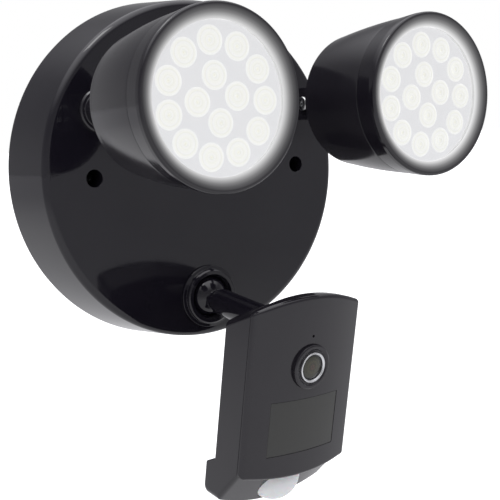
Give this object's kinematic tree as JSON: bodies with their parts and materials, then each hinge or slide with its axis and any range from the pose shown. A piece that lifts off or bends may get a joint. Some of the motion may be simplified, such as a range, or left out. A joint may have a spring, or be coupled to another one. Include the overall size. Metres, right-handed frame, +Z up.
{
  "type": "floodlight security camera",
  "caption": "Round wall base carrying hinged LED floodlight heads and a camera head with motion sensor on a ball joint.",
  "frame": {"origin": "centre of the round base where it meets the wall", "axes": "+X to the right for a viewer facing the object, -Y out of the wall towards the viewer, +Z up"},
  "size_m": [0.1946, 0.157, 0.264],
  "materials": {
    "gloss_black": "moulded gloss black",
    "satin_black": "satin black, fine moulded grain",
    "dark_plastic": "matte",
    "clear_window": "clear polycarbonate",
    "lens_plastic": "moulded optics, lit warm white",
    "white_plastic": "satin",
    "smoked_window": "smoked, infrared-clear",
    "zinc_steel": "zinc plated",
    "bare_aluminium": "as machined",
    "foam_rubber": "matte",
    "circuit_board": "solder mask",
    "component_plastic": "moulded",
    "lens_glass": "coated glass"
  },
  "bodies": {
    "base": {"wall_bracket": "zinc_steel", "wall_gasket": "foam_rubber", "base_housing": "gloss_black", "back_plate": "dark_plastic", "back_plate_screw_1": "zinc_steel", "back_plate_screw_2": "zinc_steel", "back_plate_screw_3": "zinc_steel", "cable_grommet": "foam_rubber", "mounting_screw_left": "zinc_steel", "mounting_screw_right": "zinc_steel", "driver_board": "circuit_board", "driver_transformer": "component_plastic", "driver_capacitor": "component_plastic", "terminal_block": "white_plastic", "socket_ring": "gloss_black", "socket_clamp": "dark_plastic", "clamp_screw_1": "zinc_steel", "clamp_screw_2": "zinc_steel"},
    "left_swivel": {"left_lamp_bracket": "satin_black", "left_swivel_washer": "foam_rubber", "left_swivel_nut": "bare_aluminium", "left_hinge_bolt": "zinc_steel", "left_hinge_nut": "zinc_steel"},
    "left_lamp": {"left_lamp_housing": "satin_black", "left_lamp_bezel": "gloss_black", "left_lamp_window": "clear_window", "left_lamp_seal": "foam_rubber", "left_lens_array": "lens_plastic", "left_led_board": "white_plastic", "left_heat_sink": "bare_aluminium"},
    "right_swivel": {"right_lamp_bracket": "satin_black", "right_swivel_washer": "foam_rubber", "right_swivel_nut": "bare_aluminium", "right_hinge_bolt": "zinc_steel", "right_hinge_nut": "zinc_steel"},
    "right_lamp": {"right_lamp_housing": "satin_black", "right_lamp_bezel": "gloss_black", "right_lamp_window": "clear_window", "right_lamp_seal": "foam_rubber", "right_lens_array": "lens_plastic", "right_led_board": "white_plastic", "right_heat_sink": "bare_aluminium"},
    "camera_cup": {"ball_cup": "white_plastic"},
    "camera_arm": {"ball_arm": "gloss_black", "arm_nut": "zinc_steel"},
    "camera_head": {"camera_rear_housing": "satin_black", "camera_front_cover": "gloss_black", "ir_window": "smoked_window", "lens_bezel": "gloss_black", "lens_trim_ring": "bare_aluminium", "lens_glass": "lens_glass", "lens_barrel": "dark_plastic", "camera_board": "circuit_board", "ir_led_board": "circuit_board", "speaker": "component_plastic", "pir_dome": "white_plastic", "pir_sensor": "bare_aluminium", "camera_screw_1": "zinc_steel", "camera_screw_2": "zinc_steel"}
  },
  "joints": [
    {"name": "left_lamp_swivel", "type": "hinge", "parent": "base", "child": "left_swivel", "pos_m": [-0.0593, -0.07, 0.034], "axis": [0, 1, 0], "range_deg": [-90, 90]},
    {"name": "left_lamp_tilt", "type": "hinge", "parent": "left_swivel", "child": "left_lamp", "pos_m": [-0.0593, -0.07, 0.034], "axis": [1, 0, 0], "range_deg": [-45, 60]},
    {"name": "right_lamp_swivel", "type": "hinge", "parent": "base", "child": "right_swivel", "pos_m": [0.0593, -0.07, 0.034], "axis": [0, 1, 0], "range_deg": [-90, 90]},
    {"name": "right_lamp_tilt", "type": "hinge", "parent": "right_swivel", "child": "right_lamp", "pos_m": [0.0593, -0.07, 0.034], "axis": [1, 0, 0], "range_deg": [-45, 60]},
    {"name": "camera_pan", "type": "hinge", "parent": "base", "child": "camera_cup", "pos_m": [0, -0.037, -0.0695], "axis": [0, 0, 1], "range_deg": [-21, 14]},
    {"name": "camera_tilt", "type": "hinge", "parent": "camera_cup", "child": "camera_arm", "pos_m": [0, -0.037, -0.0695], "axis": [0.998, 0.0628, 0], "range_deg": [-25, 10]},
    {"name": "camera_roll", "type": "hinge", "parent": "camera_arm", "child": "camera_head", "pos_m": [0, -0.037, -0.0695], "axis": [-0.0623, 0.9895, 0.1305], "range_deg": [-35, 35]}
  ]
}
